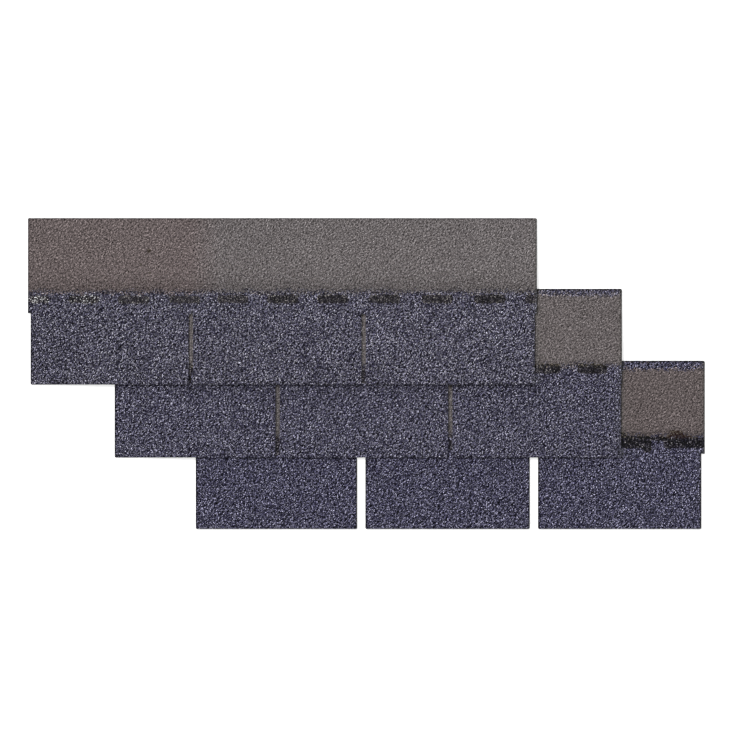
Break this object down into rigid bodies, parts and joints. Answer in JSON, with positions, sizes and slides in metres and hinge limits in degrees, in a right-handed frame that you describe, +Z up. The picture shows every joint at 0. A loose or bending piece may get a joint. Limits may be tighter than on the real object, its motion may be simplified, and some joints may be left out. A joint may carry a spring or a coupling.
{
  "type": "asphalt shingle bundle",
  "caption": "Slotted asphalt roof shingle strips laid stepped and overlapping like roof courses, with mineral granules and rows of self-seal bitumen dashes.",
  "frame": {"origin": "on the floor, under the middle of the stack's bounding box", "axes": "+X along the strips, from the top strip's end to the bottom strip's end; +Y towards the strips' head edges; +Z up, the granule side"},
  "size_m": [1.3298, 0.6108, 0.0094],
  "materials": {
    "granule_asphalt": "rough mineral granules on asphalt",
    "seal_bitumen": "tacky bitumen with a soft gloss"
  },
  "bodies": {
    "root": {"bottom_strip": "granule_asphalt", "middle_strip": "granule_asphalt", "top_strip": "granule_asphalt", "bottom_seal_dashes": "seal_bitumen", "middle_seal_dashes": "seal_bitumen", "top_seal_dashes": "seal_bitumen"}
  },
  "joints": []
}
